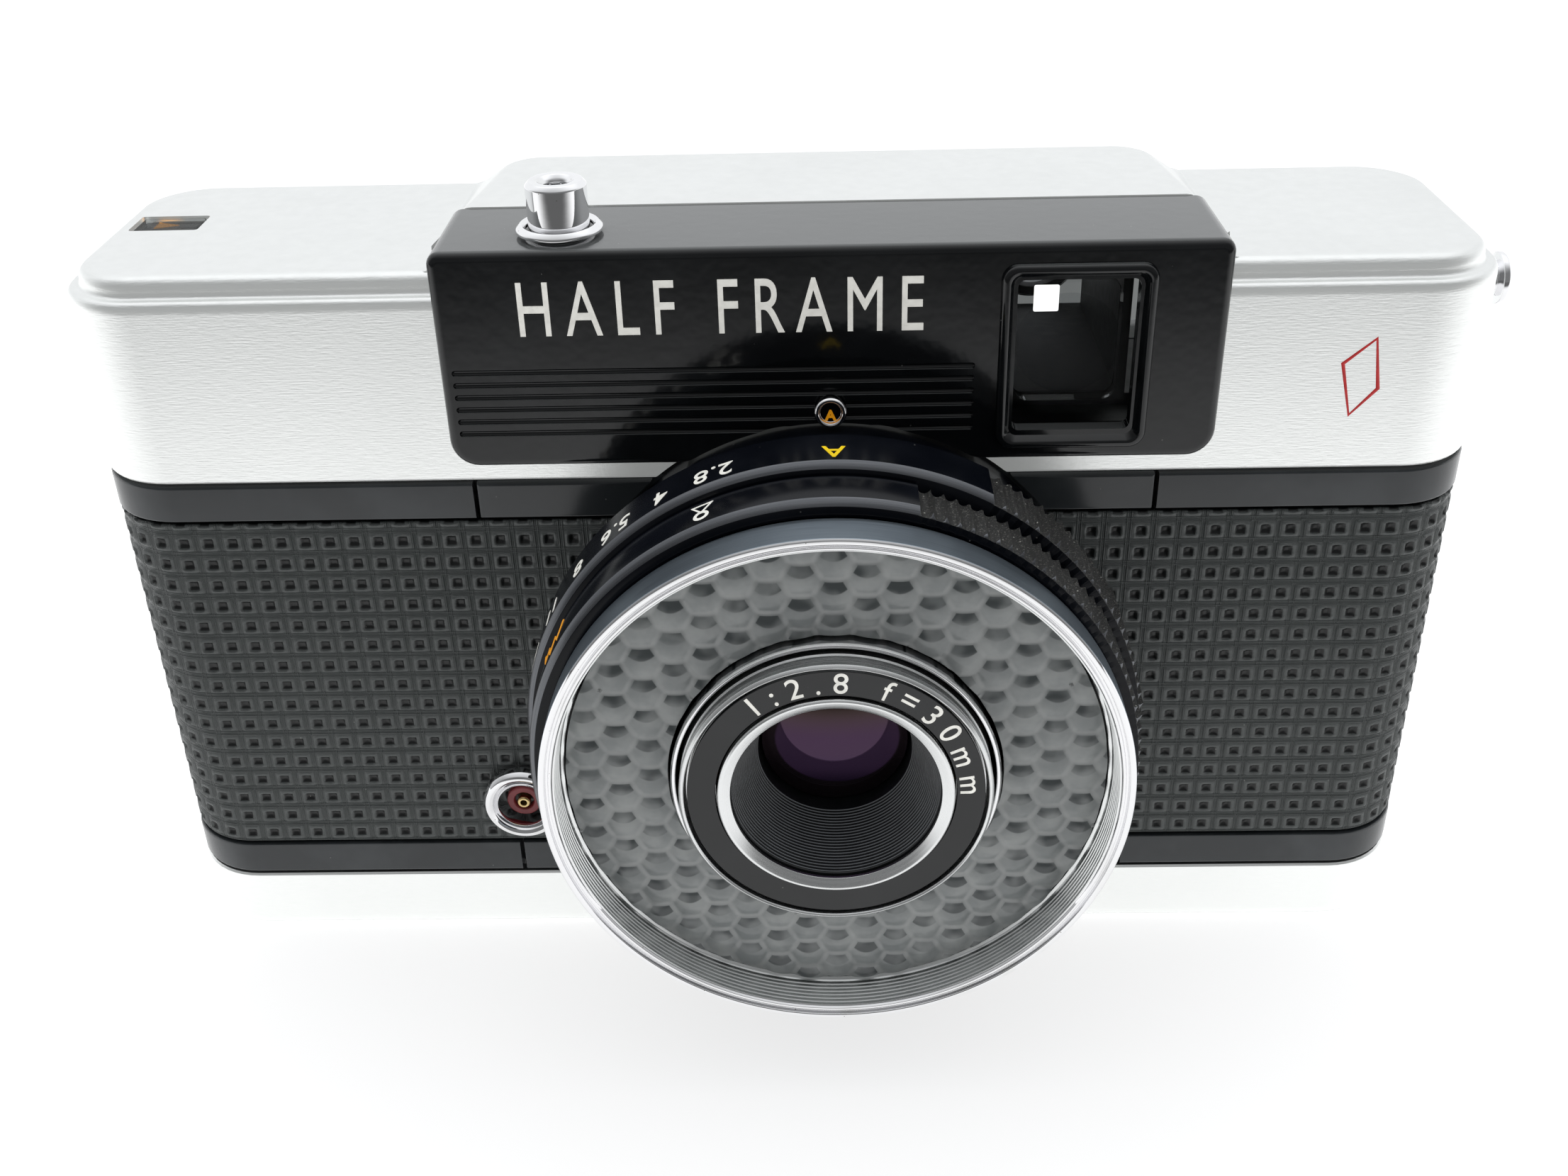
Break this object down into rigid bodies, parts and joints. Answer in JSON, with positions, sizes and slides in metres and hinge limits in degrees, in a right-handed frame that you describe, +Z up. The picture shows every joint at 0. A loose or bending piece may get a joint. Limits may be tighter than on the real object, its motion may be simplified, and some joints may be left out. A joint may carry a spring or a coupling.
{
  "type": "half frame camera",
  "caption": "Half frame viewfinder camera with a zone focus lens ringed by a light cell, a black fascia, thumb wheel advance and a hinged back.",
  "frame": {"origin": "on the base plane, under the lens axis, half way through the body's depth", "axes": "+X to the right as seen from the front, the lens faces -Y, +Z up from the base"},
  "size_m": [0.1206, 0.051, 0.0734],
  "materials": {
    "cast_body": "satin, as cast and painted inside",
    "charcoal_trim": "gloss charcoal paint",
    "leatherette": "embossed waffle sheet",
    "satin_silver": "fine satin plating",
    "gloss_black": "gloss black enamel",
    "steel_fittings": "bright machined",
    "chrome": "polished",
    "clear_plastic": "clear moulded",
    "matte_black": "matte",
    "red_plastic": "moulded red",
    "brass": "machined",
    "ring_black": "black anodised, semi gloss",
    "light_cell": "dark grey cell face",
    "coated_glass": "purple and amber coated",
    "blued_steel": "thin blackened spring steel",
    "dial_grey": "dark dial with an orange pointer"
  },
  "bodies": {
    "camera_body": {"chassis": "cast_body", "front_panel": "charcoal_trim", "front_leatherette_left": "leatherette", "front_leatherette_right": "leatherette", "top_cover": "satin_silver", "fascia": "gloss_black", "bottom_cover": "satin_silver", "tripod_bush": "steel_fittings", "strap_lug": "chrome", "counter_window": "clear_plastic", "viewfinder_window": "clear_plastic", "viewfinder_tube": "matte_black", "viewfinder_objective": "clear_plastic", "eyepiece_lens": "clear_plastic", "eyepiece_frame": "matte_black", "index_stud": "chrome", "button_collar": "chrome", "sync_socket_shell": "chrome", "sync_socket_insulator": "red_plastic", "sync_socket_pin": "brass", "lens_housing": "ring_black", "filter_ring": "chrome", "cell_window": "clear_plastic", "selenium_cell": "light_cell", "cell_ring": "chrome", "shutter_plate": "cast_body", "shutter_cover": "matte_black", "focus_helicoid": "brass", "middle_element": "coated_glass", "rear_lens_cell": "ring_black", "rear_element": "coated_glass", "meter_case": "matte_black", "hinge_pin": "steel_fittings", "top_cover_screw": "steel_fittings", "bottom_cover_screw": "steel_fittings", "return_spring": "steel_fittings", "release_bracket": "steel_fittings"},
    "release_button": {"release_button": "chrome"},
    "release_lever": {"release_lever": "steel_fittings"},
    "aperture_ring": {"aperture_ring": "ring_black"},
    "aperture_vane_upper": {"aperture_vane_upper": "blued_steel"},
    "aperture_vane_lower": {"aperture_vane_lower": "blued_steel"},
    "focus_ring": {"focus_ring": "ring_black"},
    "focus_barrel": {"focus_barrel": "chrome", "name_ring": "gloss_black", "bezel_ring": "chrome", "baffle_cone": "matte_black", "front_element": "coated_glass"},
    "shutter_blade_left": {"shutter_blade_left": "blued_steel"},
    "shutter_blade_right": {"shutter_blade_right": "blued_steel"},
    "advance_wheel": {"advance_wheel": "steel_fittings"},
    "idler_gear": {"idler_gear": "brass"},
    "film_sprocket": {"film_sprocket": "steel_fittings"},
    "counter_dial": {"counter_dial": "dial_grey"},
    "back_door": {"back_door": "charcoal_trim", "door_leatherette": "leatherette"},
    "pressure_plate": {"pressure_plate": "steel_fittings"},
    "door_latch": {"door_latch": "chrome"},
    "meter_needle": {"meter_needle": "red_plastic"},
    "red_flag": {"red_flag": "red_plastic"}
  },
  "joints": [
    {"name": "release_press", "type": "slide", "parent": "camera_body", "child": "release_button", "axis": [0, 0, -1], "range_m": [0, 0.0022], "deforming": ["return_spring"]},
    {"name": "release_lever_turn", "type": "hinge", "parent": "camera_body", "child": "release_lever", "pos_m": [-0.0212, -0.004, 0.0573], "axis": [1, 0, 0], "range_deg": [0, 18.6]},
    {"name": "aperture_turn", "type": "hinge", "parent": "camera_body", "child": "aperture_ring", "pos_m": [0, -0.0249, 0.032], "axis": [0, 1, 0], "range_deg": [0, 84]},
    {"name": "aperture_vane_upper_turn", "type": "hinge", "parent": "camera_body", "child": "aperture_vane_upper", "pos_m": [0, -0.01865, 0.043], "axis": [0, 1, 0], "range_deg": [0, 36]},
    {"name": "aperture_vane_lower_turn", "type": "hinge", "parent": "camera_body", "child": "aperture_vane_lower", "pos_m": [0, -0.01925, 0.021], "axis": [0, 1, 0], "range_deg": [0, 36]},
    {"name": "focus_turn", "type": "hinge", "parent": "camera_body", "child": "focus_ring", "pos_m": [0, -0.0299, 0.032], "axis": [0, 1, 0], "range_deg": [-25, 65]},
    {"name": "focus_barrel_slide", "type": "slide", "parent": "camera_body", "child": "focus_barrel", "axis": [0, -1, 0], "range_m": [-0.0003, 0.00075]},
    {"name": "shutter_blade_left_turn", "type": "hinge", "parent": "camera_body", "child": "shutter_blade_left", "pos_m": [-0.011, -0.01705, 0.032], "axis": [0, -1, 0], "range_deg": [0, 50]},
    {"name": "shutter_blade_right_turn", "type": "hinge", "parent": "camera_body", "child": "shutter_blade_right", "pos_m": [0.011, -0.01765, 0.032], "axis": [0, -1, 0], "range_deg": [0, 50]},
    {"name": "advance_wheel_turn", "type": "hinge", "parent": "camera_body", "child": "advance_wheel", "pos_m": [-0.0485, 0.004, 0.0547], "axis": [0, 0, 1], "continuous": true},
    {"name": "idler_turn", "type": "hinge", "parent": "camera_body", "child": "idler_gear", "pos_m": [-0.034, 0.004, 0.05245], "axis": [0, 0, 1], "continuous": true},
    {"name": "sprocket_turn", "type": "hinge", "parent": "camera_body", "child": "film_sprocket", "pos_m": [-0.0195, 0.004, 0.032], "axis": [0, 0, 1], "continuous": true},
    {"name": "counter_turn", "type": "hinge", "parent": "camera_body", "child": "counter_dial", "pos_m": [-0.0505, 0.00145, 0.0642], "axis": [0, 0, 1], "continuous": true},
    {"name": "back_door_swing", "type": "hinge", "parent": "camera_body", "child": "back_door", "pos_m": [0.05285, 0.0075, 0.028], "axis": [0, 0, -1], "range_deg": [0, 110]},
    {"name": "pressure_plate_press", "type": "slide", "parent": "back_door", "child": "pressure_plate", "axis": [0, 1, 0], "range_m": [0, 0.0006]},
    {"name": "latch_slide", "type": "slide", "parent": "camera_body", "child": "door_latch", "axis": [0, 0, -1], "range_m": [0, 0.003]},
    {"name": "meter_needle_turn", "type": "hinge", "parent": "camera_body", "child": "meter_needle", "pos_m": [0.0415, -0.004, 0.0605], "axis": [0, 0, 1], "range_deg": [-35, 35]},
    {"name": "red_flag_turn", "type": "hinge", "parent": "camera_body", "child": "red_flag", "pos_m": [0.0278, -0.0122, 0.0536], "axis": [0, -1, 0], "range_deg": [0, 70]}
  ],
  "couplings": [
    {"joint": "release_lever_turn", "follows": "release_press", "rad_per_m": 147.06},
    {"joint": "aperture_vane_upper_turn", "follows": "aperture_turn", "ratio": 0.4167},
    {"joint": "aperture_vane_lower_turn", "follows": "aperture_turn", "ratio": 0.4167},
    {"joint": "focus_barrel_slide", "follows": "focus_turn", "m_per_rad": 0.000656},
    {"joint": "shutter_blade_right_turn", "follows": "shutter_blade_left_turn", "ratio": 1},
    {"joint": "idler_turn", "follows": "advance_wheel_turn", "ratio": -1},
    {"joint": "sprocket_turn", "follows": "advance_wheel_turn", "ratio": 1},
    {"joint": "counter_turn", "follows": "advance_wheel_turn", "ratio": -0.066667}
  ]
}
